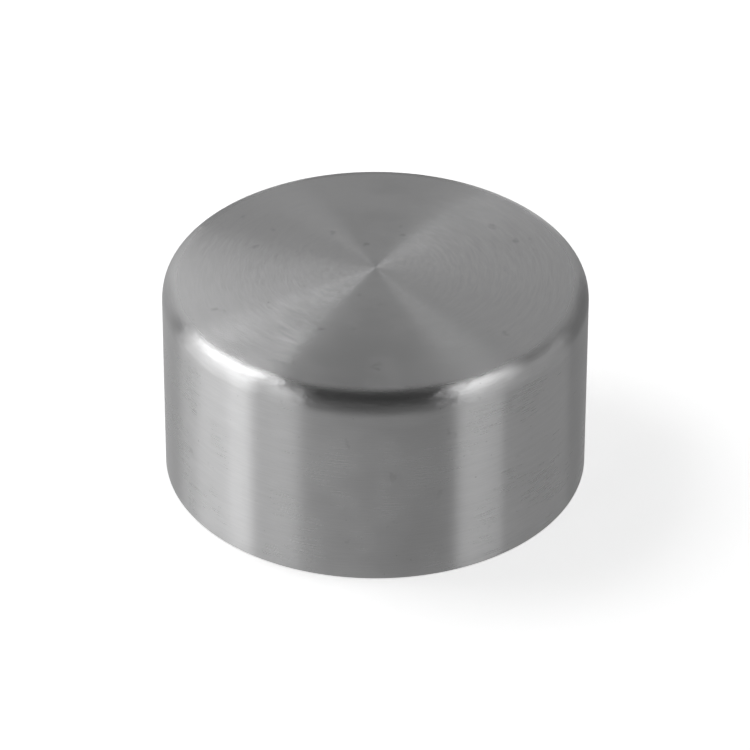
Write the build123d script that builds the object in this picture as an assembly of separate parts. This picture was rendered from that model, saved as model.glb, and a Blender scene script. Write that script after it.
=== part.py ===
from build123d import *

import os
from math import ceil, radians, sqrt, tan

from build123d.topology import SkipClean

# Hand-tightened cap for the end of a DN 32 pipe with a G 1-1/4 thread, in millimetres.
#
# The cap stands on its open rim: Z = 0 is the rim plane, +Z runs along the pipe axis to the
# closed, slightly crowned face, and X = Y = 0 is the axis of the thread.
#
#   cover_shell    drawn and brushed stainless cup, the whole outside of the cap
#   threaded_core  turned brass body with the pipe thread, pressed into the cup
#   slip_disc      thin PTFE disc that lets the seal stand still while the cap turns
#   sealing_disc   rubber disc that the end of the pipe closes on

# Pipe thread, ISO 228 G 1-1/4: 55 degree Whitworth form, 11 threads to the inch
THREAD_PITCH = 25.4 / 11
THREAD_MAJOR_R = 41.910 / 2
THREAD_MINOR_R = 38.952 / 2
THREAD_FLANK_ANGLE = radians(55 / 2)
THREAD_ROOT_WIDTH = THREAD_PITCH / 6
THREAD_TOP_Z = 16.8
TOOL_OVERRUN = 0.1
CREST_STRIPS = 12

# Drawn cover
SHELL_R = 25.0
SHELL_WALL = 1.0
SHELL_HEIGHT = 26.75
CROWN_RISE = 1.75
CORNER_R = 2.1
RIM_EDGE_R = 0.25

# Turned core
PRESS_INTERFERENCE = 0.02
CORE_R = SHELL_R - SHELL_WALL + PRESS_INTERFERENCE
CORE_BASE_Z = 0.8
CORE_TOP_Z = 24.25
CORE_TOP_CHAMFER = 1.6
CORE_BASE_CHAMFER = 0.6
MOUTH_CHAMFER = 1.8
POCKET_R = 21.3
FLUTE_COUNT = 72
FLUTE_DEPTH = 0.35
FLUTE_WIDTH = 0.9

# Seal stack, loose in the pocket above the thread
STACK_PLAY = 0.1
SEAL_R = 21.0
SEAL_THICKNESS = 3.0
SEAL_EDGE_R = 0.4
BEAD_R = 18.6
BEAD_WIDTH = 1.4
BEAD_HEIGHT = 0.35
SLIP_R = 20.7
SLIP_THICKNESS = 0.5

# Heights that follow from the stack, from the end of the thread upwards
SEAL_BASE_Z = THREAD_TOP_Z + STACK_PLAY
SLIP_BASE_Z = SEAL_BASE_Z + BEAD_HEIGHT + SEAL_THICKNESS + STACK_PLAY
POCKET_TOP_Z = SLIP_BASE_Z + SLIP_THICKNESS + STACK_PLAY

# The groove is cut from below the mouth to inside the pocket, in a blank that is longer below
THREAD_START_Z = CORE_BASE_Z - THREAD_PITCH
THREAD_TURNS = ceil((THREAD_TOP_Z - THREAD_START_Z) / THREAD_PITCH) + 1
BLANK_BASE_Z = THREAD_START_Z - THREAD_PITCH

# The outside of the crown is part of a large sphere
DOME_R = (SHELL_R**2 + CROWN_RISE**2) / (2 * CROWN_RISE)

ON_BASE = (Align.CENTER, Align.CENTER, Align.MIN)


def domed_blank(radius, apex_z, dome_r, corner_r):
    """Round solid from Z = 0 to a spherical crown, with a rounded corner between wall and crown."""
    centre_z = apex_z - dome_r
    shoulder_z = centre_z + sqrt(dome_r**2 - radius**2)
    halfway_z = centre_z + sqrt(dome_r**2 - (radius / 2) ** 2)
    crown = ThreePointArc((0, apex_z), (radius / 2, halfway_z), (radius, shoulder_z))
    sides = Polyline((radius, shoulder_z), (radius, 0), (0, 0), (0, apex_z))
    half_section = make_face(crown + sides)
    shoulder = half_section.vertices().sort_by_distance((radius, shoulder_z))[0]
    half_section = fillet(shoulder, corner_r)
    return revolve(Plane.XZ * half_section, Axis.Z)


def cover_shell():
    outside = domed_blank(SHELL_R, SHELL_HEIGHT, DOME_R, CORNER_R)
    inside = domed_blank(
        SHELL_R - SHELL_WALL,
        SHELL_HEIGHT - SHELL_WALL,
        DOME_R - SHELL_WALL,
        CORNER_R - SHELL_WALL,
    )
    shell = outside - inside
    rim_edges = shell.edges().filter_by(GeomType.CIRCLE).group_by(Axis.Z)[0]
    return fillet(rim_edges, RIM_EDGE_R)


def bore_sector():
    """One of the equal sectors that the bore is cut in, so that each crest face is short."""
    return Pos(0, 0, BLANK_BASE_Z) * Cylinder(
        THREAD_MINOR_R,
        POCKET_TOP_Z - BLANK_BASE_Z,
        arc_size=360 / CREST_STRIPS,
        align=(Align.NONE, Align.NONE, Align.MIN),
    )


def groove_turn():
    """One turn of the helical groove, a little deeper inwards than the crests."""
    half_root = THREAD_ROOT_WIDTH / 2
    inner_r = THREAD_MINOR_R - TOOL_OVERRUN
    half_mouth = half_root + (THREAD_MAJOR_R - inner_r) * tan(THREAD_FLANK_ANGLE)
    form = Plane.XZ * Polygon(
        (THREAD_MAJOR_R, -half_root),
        (THREAD_MAJOR_R, half_root),
        (inner_r, half_mouth),
        (inner_r, -half_mouth),
        align=None,
    )
    helix = Helix(pitch=THREAD_PITCH, height=THREAD_PITCH, radius=THREAD_MAJOR_R)
    return sweep(form, path=helix, is_frenet=True)


def flutes():
    """V grooves of the straight knurl that grips the cover."""
    notch = Polygon(
        (CORE_R - FLUTE_DEPTH, 0),
        (CORE_R + FLUTE_DEPTH, -FLUTE_WIDTH),
        (CORE_R + FLUTE_DEPTH, FLUTE_WIDTH),
        align=None,
    )
    return PolarLocations(0, FLUTE_COUNT) * extrude(notch, CORE_TOP_Z)


def threaded_core():
    blank = Pos(0, 0, BLANK_BASE_Z) * Cylinder(
        CORE_R, CORE_TOP_Z - BLANK_BASE_Z, align=ON_BASE
    )
    sector = bore_sector()
    turn = groove_turn()
    below_base = Pos(0, 0, BLANK_BASE_Z) * Cylinder(
        CORE_R, CORE_BASE_Z - BLANK_BASE_Z, align=ON_BASE
    )
    mouth = Pos(0, 0, CORE_BASE_Z) * Cone(
        THREAD_MINOR_R + MOUTH_CHAMFER, THREAD_MINOR_R, MOUTH_CHAMFER, align=ON_BASE
    )
    pocket = Pos(0, 0, THREAD_TOP_Z) * Cylinder(
        POCKET_R, POCKET_TOP_Z - THREAD_TOP_Z, align=ON_BASE
    )
    with SkipClean():
        core = blank
        for n in range(CREST_STRIPS):
            core -= Rot(0, 0, n * 360 / CREST_STRIPS) * sector
        for n in range(THREAD_TURNS):
            core -= Pos(0, 0, THREAD_START_Z + n * THREAD_PITCH) * turn
        core = core - pocket - below_base - mouth
        outer_rims = core.edges().filter_by(
            lambda e: e.geom_type == GeomType.CIRCLE and e.radius == CORE_R
        )
        core = chamfer(outer_rims.sort_by(Axis.Z)[-1], CORE_TOP_CHAMFER)
        core = chamfer(outer_rims.sort_by(Axis.Z)[0], CORE_BASE_CHAMFER)
        return core - flutes()


def slip_disc():
    return Pos(0, 0, SLIP_BASE_Z) * Cylinder(SLIP_R, SLIP_THICKNESS, align=ON_BASE)


def sealing_disc():
    disc = Pos(0, 0, SEAL_BASE_Z + BEAD_HEIGHT) * Cylinder(SEAL_R, SEAL_THICKNESS, align=ON_BASE)
    disc = fillet(disc.edges().filter_by(GeomType.CIRCLE), SEAL_EDGE_R)
    bead = Pos(0, 0, SEAL_BASE_Z) * (
        Cylinder(BEAD_R + BEAD_WIDTH / 2, 2 * BEAD_HEIGHT, align=ON_BASE)
        - Cylinder(BEAD_R - BEAD_WIDTH / 2, 2 * BEAD_HEIGHT, align=ON_BASE)
    )
    return disc + bead


os.makedirs("parts", exist_ok=True)
export_step(cover_shell(), "parts/cover_shell.step")
export_step(threaded_core(), "parts/threaded_core.step")
export_step(slip_disc(), "parts/slip_disc.step")
export_step(sealing_disc(), "parts/sealing_disc.step")
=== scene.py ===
from math import asin, cos, pi, radians, sin, sqrt, tan

import bmesh
import bpy
from mathutils import Matrix, Vector


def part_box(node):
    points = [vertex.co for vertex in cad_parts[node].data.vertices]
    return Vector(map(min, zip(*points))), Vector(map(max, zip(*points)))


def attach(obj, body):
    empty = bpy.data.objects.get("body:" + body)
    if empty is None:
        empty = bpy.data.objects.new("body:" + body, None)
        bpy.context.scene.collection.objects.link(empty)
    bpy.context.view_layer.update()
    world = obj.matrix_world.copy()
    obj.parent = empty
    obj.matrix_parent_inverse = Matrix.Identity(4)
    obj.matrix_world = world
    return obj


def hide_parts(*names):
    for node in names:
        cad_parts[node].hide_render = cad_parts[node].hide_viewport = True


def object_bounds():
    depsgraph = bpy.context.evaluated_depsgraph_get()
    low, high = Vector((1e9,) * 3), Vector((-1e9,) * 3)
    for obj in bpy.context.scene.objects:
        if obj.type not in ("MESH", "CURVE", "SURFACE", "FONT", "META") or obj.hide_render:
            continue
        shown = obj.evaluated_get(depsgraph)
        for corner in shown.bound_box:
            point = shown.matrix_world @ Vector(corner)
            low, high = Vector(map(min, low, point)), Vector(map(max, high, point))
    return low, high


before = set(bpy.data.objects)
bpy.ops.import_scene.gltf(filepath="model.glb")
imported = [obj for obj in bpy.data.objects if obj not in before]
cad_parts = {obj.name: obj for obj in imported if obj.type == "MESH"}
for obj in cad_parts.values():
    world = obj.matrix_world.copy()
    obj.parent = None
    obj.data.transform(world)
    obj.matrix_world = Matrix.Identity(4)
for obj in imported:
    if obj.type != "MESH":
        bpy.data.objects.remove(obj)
cad_low, cad_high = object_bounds()

MM = 0.001

# ---------------------------------------------------------------- sizes, in metres
# Outer sizes come from the frame, and the rest are the real object's own.

shell_low, shell_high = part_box("cover_shell")
core_low, core_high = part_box("threaded_core")
seal_low, seal_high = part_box("sealing_disc")
slip_low, slip_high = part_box("slip_disc")

SHELL_R = shell_high.x
SHELL_TOP = shell_high.z
SHELL_WALL = 1.0 * MM
CROWN_RISE = 1.75 * MM
CORNER_R = 2.1 * MM
RIM_EDGE_R = 0.25 * MM

# The corner's finish blends in between these radii and heights.
CORNER_IN = SHELL_R - CORNER_R
CORNER_LOW = SHELL_TOP - CROWN_RISE - CORNER_R * 0.85
CORNER_HIGH = SHELL_TOP - CROWN_RISE + CORNER_R * 0.15

CORE_R = SHELL_R - SHELL_WALL
CORE_BASE = core_low.z
CORE_TOP = core_high.z
CORE_TOP_CHAMFER = 1.6 * MM
CORE_BASE_CHAMFER = 0.6 * MM
MOUTH_CHAMFER = 1.8 * MM
POCKET_R = 21.3 * MM
POCKET_TOP = slip_high.z + 0.1 * MM
FLUTES = 72
FLUTE_DEPTH = 0.35 * MM
FLUTE_HALF_WIDTH = 0.45 * MM

THREAD_PITCH = 25.4 / 11 * MM
THREAD_MAJOR_R = 20.955 * MM
THREAD_MINOR_R = 19.476 * MM
THREAD_TOP = 16.8 * MM
FLANK_ANGLE = radians(27.5)
# A Whitworth thread's crests and roots are rounded to this radius.
ROUNDING_R = 0.137329 * THREAD_PITCH


# ---------------------------------------------------------------- mesh helpers


def arc(centre, radius, start_deg, end_deg, steps):
    """Points of an arc in the (r, z) half plane, both ends included."""
    points = []
    for n in range(steps + 1):
        angle = radians(start_deg + (end_deg - start_deg) * n / steps)
        points.append((centre[0] + radius * cos(angle), centre[1] + radius * sin(angle)))
    return points


def line(start, end, steps):
    """Points from start to end, without the first."""
    return [
        (
            start[0] + (end[0] - start[0]) * n / steps,
            start[1] + (end[1] - start[1]) * n / steps,
        )
        for n in range(1, steps + 1)
    ]


def skin(name, rows, start_pole, end_pole):
    """Mesh object from rings of points, quads between rings, and a fan to each pole."""
    bm = bmesh.new()
    rings = [[bm.verts.new(p) for p in row] for row in rows]
    count = len(rings[0])
    for low, high in zip(rings, rings[1:]):
        for n in range(count):
            m = (n + 1) % count
            bm.faces.new((low[n], low[m], high[m], high[n]))
    for pole, ring, flip in ((start_pole, rings[0], True), (end_pole, rings[-1], False)):
        tip = bm.verts.new(pole)
        for n in range(count):
            m = (n + 1) % count
            corners = (ring[m], ring[n], tip) if flip else (ring[n], ring[m], tip)
            bm.faces.new(corners)
    bmesh.ops.remove_doubles(bm, verts=bm.verts, dist=1e-8)
    bmesh.ops.recalc_face_normals(bm, faces=bm.faces)
    mesh = bpy.data.meshes.new(name)
    bm.to_mesh(mesh)
    bm.free()
    obj = bpy.data.objects.new(name, mesh)
    bpy.context.scene.collection.objects.link(obj)
    return obj


def lathe(name, profile, angles, start_z, end_z):
    """Solid of revolution of (r, z) points about Z, closed on the axis at both heights."""
    rows = [[(r * cos(a), r * sin(a), z) for a in angles] for r, z in profile]
    return skin(name, rows, (0, 0, start_z), (0, 0, end_z))


def even_angles(count):
    return [2 * pi * n / count for n in range(count)]


def smooth(obj, angle_deg):
    """Smooth shading, with sharp edges where faces meet at more than the angle."""
    obj.data.shade_smooth()
    obj.data.set_sharp_from_angle(angle=radians(angle_deg))


# ---------------------------------------------------------------- the pieces


def domed_profile(radius, apex, dome_r, corner_span, rim_r, rim_sign):
    """(r, z) points from beside the apex out over the crown, round the corner and down to the rim.

    The corner eases in and out of its bend, as a pressed blank does, over corner_span of length.
    rim_sign is 1 where the rim's small radius turns outwards to the wall, -1 where it turns inwards.
    """
    centre = apex - dome_r
    steps = 36
    lean = 0.0
    for _ in range(6):
        bends = []
        for n in range(steps):
            u = (n + 0.5) / steps
            bends.append(lean + (pi / 2 - lean) * u * u * (3 - 2 * u))
        join = radius - sum(cos(bend) for bend in bends) * corner_span / steps
        lean = asin(join / dome_r)
    points = []
    crown_steps = 60
    for n in range(1, crown_steps + 1):
        r = join * n / crown_steps
        points.append((r, centre + sqrt(dome_r**2 - r**2)))
    r, z = points[-1]
    for bend in bends:
        r += cos(bend) * corner_span / steps
        z -= sin(bend) * corner_span / steps
        points.append((r, z))
    points += line((radius, z), (radius, rim_r), 12)
    rim_centre = (radius - rim_sign * rim_r, rim_r)
    start_deg, end_deg = (0, -90) if rim_sign > 0 else (180, 270)
    points += arc(rim_centre, rim_r, start_deg, end_deg, 6)[1:]
    return points


def cover():
    dome_r = (SHELL_R**2 + CROWN_RISE**2) / (2 * CROWN_RISE)
    outside = domed_profile(SHELL_R, SHELL_TOP, dome_r, 2 * CORNER_R, RIM_EDGE_R, 1)
    inside = domed_profile(
        SHELL_R - SHELL_WALL,
        SHELL_TOP - SHELL_WALL,
        dome_r - SHELL_WALL,
        2 * (CORNER_R - SHELL_WALL),
        RIM_EDGE_R,
        -1,
    )
    profile = outside + inside[::-1]
    obj = lathe("brushed_cover", profile, even_angles(384), SHELL_TOP, SHELL_TOP - SHELL_WALL)
    smooth(obj, 40)
    return obj


def thread_radius(phase):
    """Radius of the Whitworth form at a distance along the axis from the middle of a root."""
    d = abs((phase + THREAD_PITCH / 2) % THREAD_PITCH - THREAD_PITCH / 2)
    pitch_r = (THREAD_MAJOR_R + THREAD_MINOR_R) / 2
    arc_reach = ROUNDING_R * cos(FLANK_ANGLE)
    if d < arc_reach:
        return THREAD_MAJOR_R - ROUNDING_R + sqrt(ROUNDING_R**2 - d**2)
    from_crest = THREAD_PITCH / 2 - d
    if from_crest < arc_reach:
        return THREAD_MINOR_R + ROUNDING_R - sqrt(ROUNDING_R**2 - from_crest**2)
    return pitch_r + (THREAD_PITCH / 4 - d) / tan(FLANK_ANGLE)


def thread_rows(angles):
    """Rings of the thread's wall from its top down to the mouth, each ring one turn of a helix."""
    arc_reach = ROUNDING_R * cos(FLANK_ANGLE)
    arc_steps = 4
    flank_steps = 3
    half_turn = [arc_reach * n / arc_steps for n in range(arc_steps + 1)]
    flank = THREAD_PITCH / 2 - 2 * arc_reach
    half_turn += [arc_reach + flank * n / flank_steps for n in range(1, flank_steps + 1)]
    half_turn += [THREAD_PITCH / 2 - arc_reach * (1 - n / arc_steps) for n in range(1, arc_steps)]
    one_turn = half_turn + [THREAD_PITCH / 2] + [THREAD_PITCH - d for d in half_turn[:0:-1]]
    first_turn = -2
    last_turn = int((THREAD_TOP - CORE_BASE) / THREAD_PITCH) + 2
    rows = []
    for turn in range(first_turn, last_turn):
        for d in one_turn:
            row = []
            for a in angles:
                z = CORE_BASE + turn * THREAD_PITCH + d + THREAD_PITCH * a / (2 * pi)
                z = min(max(z, CORE_BASE), THREAD_TOP)
                chamfer_r = THREAD_MINOR_R + MOUTH_CHAMFER - (z - CORE_BASE)
                phase = z - CORE_BASE - THREAD_PITCH * a / (2 * pi)
                r = max(thread_radius(phase), chamfer_r)
                row.append((r * cos(a), r * sin(a), z))
            rows.append(row)
    return rows[::-1]


def core():
    flute_pitch = 2 * pi / FLUTES
    edge = FLUTE_HALF_WIDTH / CORE_R
    offsets = (0, edge, flute_pitch / 2, flute_pitch - edge)
    angles = [n * flute_pitch + offset for n in range(FLUTES) for offset in offsets]
    roots = [offset == 0 for _ in range(FLUTES) for offset in offsets]

    def ring(r, z, root_r=None, root_z=None):
        row = []
        for a, is_root in zip(angles, roots):
            use_r = root_r if is_root and root_r is not None else r
            use_z = root_z if is_root and root_z is not None else z
            row.append((use_r * cos(a), use_r * sin(a), use_z))
        return row

    flute_r = CORE_R - FLUTE_DEPTH
    rows = [ring(POCKET_R, POCKET_TOP), ring(POCKET_R, THREAD_TOP)]
    rows += thread_rows(angles)
    rows.append(ring(CORE_R - CORE_BASE_CHAMFER, CORE_BASE))
    base_edge = CORE_BASE + CORE_BASE_CHAMFER
    top_edge = CORE_TOP - CORE_TOP_CHAMFER
    rows.append(ring(CORE_R, base_edge, flute_r, base_edge - FLUTE_DEPTH))
    rows.append(ring(CORE_R, top_edge, flute_r, top_edge + FLUTE_DEPTH))
    rows.append(ring(CORE_R - CORE_TOP_CHAMFER, CORE_TOP))
    obj = skin("brass_core", rows, (0, 0, POCKET_TOP), (0, 0, CORE_TOP))
    smooth(obj, 25)
    return obj


def seal():
    edge_r = 0.4 * MM
    bead_r = 18.6 * MM
    bead_half = 0.7 * MM
    bead_height = 0.35 * MM
    gate_r = 1.5 * MM
    gate_depth = 0.25 * MM
    radius = seal_high.x
    top = seal_high.z
    base = seal_low.z + bead_height
    profile = line((0, top), (radius - edge_r, top), 8)
    profile += arc((radius - edge_r, top - edge_r), edge_r, 90, 0, 6)
    profile += arc((radius - edge_r, base + edge_r), edge_r, 0, -90, 6)
    profile += line((radius - edge_r, base), (bead_r + bead_half, base), 4)
    for n in range(1, 12):
        x = bead_half * cos(pi * n / 12)
        profile.append((bead_r + x, base - bead_height * sin(pi * n / 12)))
    profile += line((bead_r - bead_half, base), (gate_r, base), 16)
    profile += line((gate_r, base), (gate_r * 0.8, base + gate_depth), 2)
    profile += line((gate_r * 0.8, base + gate_depth), (gate_r * 0.1, base + gate_depth), 3)
    obj = lathe("epdm_disc", profile, even_angles(192), top, base + gate_depth)
    smooth(obj, 50)
    return obj


def slip():
    edge_r = 0.08 * MM
    radius = slip_high.x
    profile = line((0, slip_high.z), (radius - edge_r, slip_high.z), 8)
    profile += arc((radius - edge_r, slip_high.z - edge_r), edge_r, 90, 0, 4)
    profile += arc((radius - edge_r, slip_low.z + edge_r), edge_r, 0, -90, 4)
    profile += line((radius - edge_r, slip_low.z), (radius * 0.05, slip_low.z), 8)
    obj = lathe("ptfe_disc", profile, even_angles(160), slip_high.z, slip_low.z)
    smooth(obj, 50)
    return obj


# ---------------------------------------------------------------- materials


class Nodes:
    """Short calls for building one material's node tree."""

    def __init__(self, name):
        self.material = bpy.data.materials.new(name)
        self.material.use_nodes = True
        self.tree = self.material.node_tree
        self.shader = self.tree.nodes["Principled BSDF"]

    def add(self, kind, **settings):
        node = self.tree.nodes.new(kind)
        for key, value in settings.items():
            setattr(node, key, value)
        return node

    def link(self, source, target):
        self.tree.links.new(source, target)

    def feed(self, value, socket):
        """A number goes on the socket itself, and another node's output is linked to it."""
        if isinstance(value, bpy.types.NodeSocket):
            self.link(value, socket)
        else:
            socket.default_value = value

    def math(self, operation, *values):
        node = self.add("ShaderNodeMath", operation=operation)
        for value, socket in zip(values, node.inputs):
            self.feed(value, socket)
        return node.outputs[0]

    def ramp(self, value, low, high, out_low=0.0, out_high=1.0):
        node = self.add("ShaderNodeMapRange", interpolation_type="SMOOTHSTEP")
        for item, socket in zip((value, low, high, out_low, out_high), node.inputs):
            self.feed(item, socket)
        return node.outputs[0]

    def noise(self, vector, scale, detail=2.0):
        node = self.add("ShaderNodeTexNoise")
        self.link(vector, node.inputs["Vector"])
        node.inputs["Scale"].default_value = scale
        node.inputs["Detail"].default_value = detail
        return node.outputs["Fac"]

    def vector(self, x, y, z):
        node = self.add("ShaderNodeCombineXYZ")
        for value, socket in zip((x, y, z), node.inputs):
            self.feed(value, socket)
        return node.outputs[0]

    def mix(self, factor, first, second):
        node = self.add("ShaderNodeMix", data_type="RGBA")
        self.feed(factor, node.inputs["Factor"])
        for value, socket in ((first, node.inputs["A"]), (second, node.inputs["B"])):
            self.feed(value, socket)
        return node.outputs["Result"]

    def bump(self, height, distance, normal=None):
        node = self.add("ShaderNodeBump")
        node.inputs["Strength"].default_value = 1.0
        node.inputs["Distance"].default_value = distance
        self.link(height, node.inputs["Height"])
        if normal is not None:
            self.link(normal, node.inputs["Normal"])
        return node.outputs["Normal"]

    def set(self, **values):
        for key, value in values.items():
            self.feed(value, self.shader.inputs[key.replace("_", " ")])


def round_coordinates(nodes):
    """Millimetres: the point, its direction round the axis, and the distance across the brushing."""
    position = nodes.add("ShaderNodeTexCoord").outputs["Object"]
    split = nodes.add("ShaderNodeSeparateXYZ")
    nodes.link(position, split.inputs[0])
    x, y, z = (nodes.math("MULTIPLY", axis, 1 / MM) for axis in split.outputs)
    x_squared = nodes.math("MULTIPLY", x, x)
    y_squared = nodes.math("MULTIPLY", y, y)
    r = nodes.math("SQRT", nodes.math("ADD", x_squared, y_squared))
    axis_radius = 0.02
    safe_r = nodes.math("MAXIMUM", r, axis_radius)
    across = nodes.math("SUBTRACT", r, z)
    return x, y, z, r, nodes.math("DIVIDE", x, safe_r), nodes.math("DIVIDE", y, safe_r), across


def streaks(nodes, east, north, across, turns, lines_per_mm, detail=2.0):
    """Noise drawn out round the axis: turns sets how short a streak is, lines_per_mm how fine."""
    place = nodes.vector(
        nodes.math("MULTIPLY", east, turns),
        nodes.math("MULTIPLY", north, turns),
        nodes.math("MULTIPLY", across, lines_per_mm),
    )
    return nodes.noise(place, 1.0, detail)


def brushed_stainless():
    """Brushed round the axis: finest on the crown, and blended over and rippled at the corner."""
    nodes = Nodes("brushed_stainless")
    x, y, z, r, east, north, across = round_coordinates(nodes)
    point = nodes.vector(x, y, z)
    fine = streaks(nodes, east, north, across, 9.0, 9.0)
    coarse = streaks(nodes, east, north, across, 5.0, 2.2)
    lines = nodes.math("ADD", nodes.math("MULTIPLY", fine, 0.6), nodes.math("MULTIPLY", coarse, 0.4))
    cloud = nodes.noise(point, 0.16, 3.0)
    color = nodes.mix(nodes.ramp(lines, 0.3, 0.7), (0.575, 0.575, 0.578, 1), (0.62, 0.62, 0.623, 1))
    smudges = nodes.ramp(nodes.noise(point, 0.45, 3.0), 0.66, 0.78)
    color = nodes.mix(nodes.math("MULTIPLY", smudges, 0.35), color, (0.36, 0.36, 0.36, 1))
    pits = nodes.ramp(nodes.noise(point, 2.2, 1.0), 0.74, 0.84)
    color = nodes.mix(nodes.math("MULTIPLY", pits, 0.5), color, (0.3, 0.3, 0.3, 1))
    wall = nodes.ramp(z, CORNER_HIGH / MM, CORNER_LOW / MM)
    corner = nodes.math(
        "MULTIPLY",
        nodes.ramp(r, CORNER_IN / MM - 0.4, CORNER_IN / MM + 1.2),
        nodes.ramp(z, CORNER_LOW / MM - 1.0, CORNER_LOW / MM + 0.6),
    )
    crown_roughness = 0.21
    wall_roughness = 0.30
    corner_extra = 0.15
    finish = nodes.ramp(wall, 0.0, 1.0, crown_roughness, wall_roughness)
    finish = nodes.math("ADD", finish, nodes.math("MULTIPLY", corner, corner_extra))
    finish = nodes.math("ADD", finish, nodes.ramp(lines, 0.25, 0.75, -0.03, 0.03))
    roughness = nodes.math("ADD", finish, nodes.ramp(cloud, 0.3, 0.7, -0.02, 0.02))
    tangent = nodes.add("ShaderNodeTangent", direction_type="RADIAL", axis="Z")
    nodes.link(tangent.outputs[0], nodes.shader.inputs["Tangent"])
    wiped = streaks(nodes, east, north, across, 12.0, 1.1, 3.0)
    ripple = nodes.math("MULTIPLY", wiped, nodes.ramp(corner, 0.0, 1.0, 0.06, 1.0))
    line_depth = 0.003 * MM
    ripple_depth = 0.06 * MM
    normal = nodes.bump(lines, line_depth)
    normal = nodes.bump(ripple, ripple_depth, normal=normal)
    nodes.set(Base_Color=color, Metallic=1.0, Roughness=roughness, Normal=normal)
    nodes.set(Anisotropic=1.0, Anisotropic_Rotation=0.25)
    return nodes.material


def turned_brass():
    nodes = Nodes("turned_brass")
    x, y, z, r, east, north, across = round_coordinates(nodes)
    lines = streaks(nodes, east, north, across, 2.0, 12.0)
    cloud = nodes.noise(nodes.vector(x, y, z), 0.25, 3.0)
    color = nodes.mix(nodes.ramp(cloud, 0.35, 0.65), (0.72, 0.50, 0.22, 1), (0.83, 0.62, 0.30, 1))
    roughness = nodes.ramp(lines, 0.3, 0.7, 0.22, 0.36)
    tangent = nodes.add("ShaderNodeTangent", direction_type="RADIAL", axis="Z")
    nodes.link(tangent.outputs[0], nodes.shader.inputs["Tangent"])
    nodes.set(Base_Color=color, Metallic=1.0, Roughness=roughness, Normal=nodes.bump(lines, 0.004 * MM))
    nodes.set(Anisotropic=0.5, Anisotropic_Rotation=0.25)
    return nodes.material


def moulded_epdm():
    nodes = Nodes("moulded_epdm")
    x, y, z, r, east, north, across = round_coordinates(nodes)
    grain = nodes.noise(nodes.vector(x, y, z), 14.0, 3.0)
    bloom = nodes.noise(nodes.vector(x, y, z), 0.35, 3.0)
    color = nodes.mix(nodes.ramp(bloom, 0.4, 0.7), (0.018, 0.018, 0.019, 1), (0.05, 0.05, 0.052, 1))
    nodes.set(Base_Color=color, Roughness=nodes.ramp(grain, 0.3, 0.7, 0.55, 0.75))
    nodes.set(Normal=nodes.bump(grain, 0.02 * MM))
    return nodes.material


def skived_ptfe():
    nodes = Nodes("skived_ptfe")
    x, y, z, r, east, north, across = round_coordinates(nodes)
    stretched = nodes.vector(nodes.math("MULTIPLY", x, 0.1), nodes.math("MULTIPLY", y, 3.0), z)
    lines = nodes.noise(stretched, 1.0, 3.0)
    color = nodes.mix(lines, (0.80, 0.80, 0.78, 1), (0.90, 0.90, 0.88, 1))
    nodes.set(Base_Color=color, Roughness=nodes.ramp(lines, 0.3, 0.7, 0.35, 0.5))
    nodes.set(Normal=nodes.bump(lines, 0.006 * MM))
    nodes.shader.inputs["Subsurface Weight"].default_value = 0.2
    nodes.shader.inputs["Subsurface Radius"].default_value = (0.002, 0.002, 0.002)
    return nodes.material


def pale_floor():
    nodes = Nodes("pale_floor")
    nodes.set(Base_Color=(0.86, 0.86, 0.86, 1), Roughness=0.9)
    nodes.shader.inputs["Emission Color"].default_value = (1, 1, 1, 1)
    nodes.shader.inputs["Emission Strength"].default_value = 0.55
    return nodes.material


# ---------------------------------------------------------------- stage, light and camera


def make_floor():
    """Pale table, a hair below the rim. The metal mirrors the plain world instead of it."""
    size = 0.7
    top = cad_low.z - 0.02 * MM
    mesh = bpy.data.meshes.new("floor")
    corners = [(-size, -size, top), (size, -size, top), (size, size, top), (-size, size, top)]
    mesh.from_pydata(corners, [], [(0, 1, 2, 3)])
    floor = bpy.data.objects.new("floor", mesh)
    bpy.context.scene.collection.objects.link(floor)
    mesh.materials.append(pale_floor())
    floor.visible_glossy = False
    floor.visible_shadow = False
    return floor


def softbox(name, azimuth, elevation, width_deg, height_deg, brightness):
    """Area light at an azimuth from the camera's side, positive to the right, aimed at the cap.

    Its sizes are the angles it covers as seen from the cap, and brightness is its radiance.
    """
    distance = 0.8
    a, e = radians(azimuth), radians(elevation)
    away = Vector((sin(a) * cos(e), -cos(a) * cos(e), sin(e)))
    centre = Vector((0, 0, SHELL_TOP / 2))
    light = bpy.data.lights.new(name, "AREA")
    light.shape = "RECTANGLE"
    light.size = 2 * distance * tan(radians(width_deg) / 2)
    light.size_y = 2 * distance * tan(radians(height_deg) / 2)
    light.energy = brightness * pi * light.size * light.size_y
    obj = bpy.data.objects.new(name, light)
    obj.location = centre + away * distance
    obj.rotation_euler = away.to_track_quat("Z", "Y").to_euler()
    obj.visible_camera = False
    bpy.context.scene.collection.objects.link(obj)
    return obj


def lights():
    """Strips and keys at the sides. Overhead and in front it stays dark, so the crown shows fans."""
    softbox("left_strip", -47.5, 26, 18, 16, 2.7)
    softbox("left_gate_low", -47.5, 2, 20, 20, 1.1)
    softbox("left_strip_low", -70, 11, 14, 18, 3.1)
    softbox("left_side", -88, 3, 50, 22, 1.7)
    softbox("left_glow", -80, -18, 40, 18, 0.5)
    softbox("left_high", -110, 50, 30, 32, 4.0)
    softbox("left_back", -145, 22, 40, 50, 0.45)
    softbox("right_strip", 50, 18, 16, 22, 0.7)
    softbox("right_strip_up", 50, 40, 14, 16, 2.0)
    softbox("right_strip_low", 54, 0, 25, 16, 0.9)
    softbox("right_glow", 54, -18, 25, 18, 0.6)
    softbox("right_high", 84, 55, 20, 24, 3.5)
    softbox("right_mid", 112, 24, 50, 32, 0.2)
    softbox("right_side", 90, 4, 44, 24, 0.8)
    softbox("back", 180, 30, 70, 60, 0.35)


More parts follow.
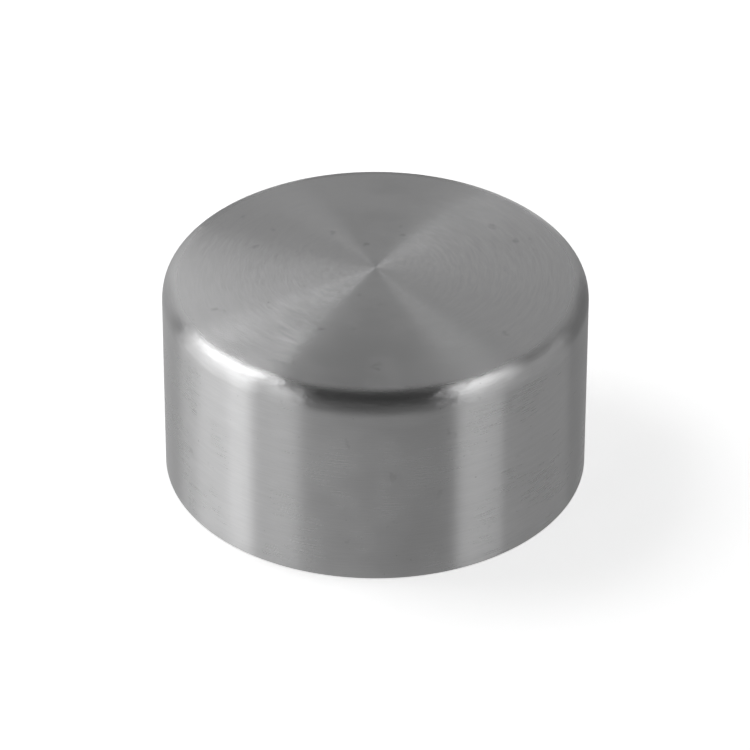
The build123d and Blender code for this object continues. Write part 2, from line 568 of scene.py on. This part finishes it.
def studio_world():
    """Dim above the horizon, and below it the pale table's glow, stronger on the left.

    Beyond the table the camera sees plain white.
    """
    world = bpy.data.worlds.new("studio")
    world.use_nodes = True
    tree = world.node_tree
    direction = tree.nodes.new("ShaderNodeTexCoord").outputs["Generated"]
    split = tree.nodes.new("ShaderNodeSeparateXYZ")
    tree.links.new(direction, split.inputs[0])
    table = tree.nodes.new("ShaderNodeMapRange")
    level = tree.nodes.new("ShaderNodeMapRange")
    for node, values in ((table, (-1.0, 1.0, 0.62, 0.26)), (level, (-0.15, 0.0, 0.0, 0.04))):
        for value, socket in zip(values, node.inputs[1:]):
            socket.default_value = value
    tree.links.new(split.outputs["X"], table.inputs["Value"])
    tree.links.new(split.outputs["Z"], level.inputs["Value"])
    tree.links.new(table.outputs[0], level.inputs["To Min"])
    tree.nodes["Background"].inputs["Color"].default_value = (1, 1, 1, 1)
    seen = tree.nodes.new("ShaderNodeLightPath").outputs["Is Camera Ray"]
    strength = tree.nodes.new("ShaderNodeMath")
    strength.operation = "MAXIMUM"
    tree.links.new(level.outputs[0], strength.inputs[0])
    tree.links.new(seen, strength.inputs[1])
    tree.links.new(strength.outputs[0], tree.nodes["Background"].inputs["Strength"])
    bpy.context.scene.world = world


def camera():
    distance = 25 * SHELL_R
    elevation = radians(34.23)
    roll = radians(0.09)
    target = Vector((-0.0015 * SHELL_R, 0, 0.463 * SHELL_R))
    frame_width = 3.5515 * SHELL_R
    data = bpy.data.cameras.new("camera")
    data.sensor_width = 36
    data.lens = data.sensor_width * distance / frame_width
    data.clip_start = 0.05
    data.clip_end = 20
    obj = bpy.data.objects.new("camera", data)
    away = Vector((0, -cos(elevation), sin(elevation)))
    turn = away.to_track_quat("Z", "Y").to_matrix().to_4x4() @ Matrix.Rotation(roll, 4, "Z")
    obj.matrix_world = Matrix.Translation(target + away * distance) @ turn
    bpy.context.scene.collection.objects.link(obj)
    bpy.context.scene.camera = obj


# ---------------------------------------------------------------- build


def place(obj, body, node, slot, material):
    obj.data.materials.append(material)
    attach(obj, body)
    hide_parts(node)


place(cover(), "cap", "cover_shell", "cover", brushed_stainless())
place(core(), "cap", "threaded_core", "core", turned_brass())
place(slip(), "slip", "slip_disc", "slip", skived_ptfe())
place(seal(), "seal", "sealing_disc", "seal", moulded_epdm())

make_floor()
lights()
studio_world()
camera()
bpy.context.scene.view_settings.view_transform = "Standard"
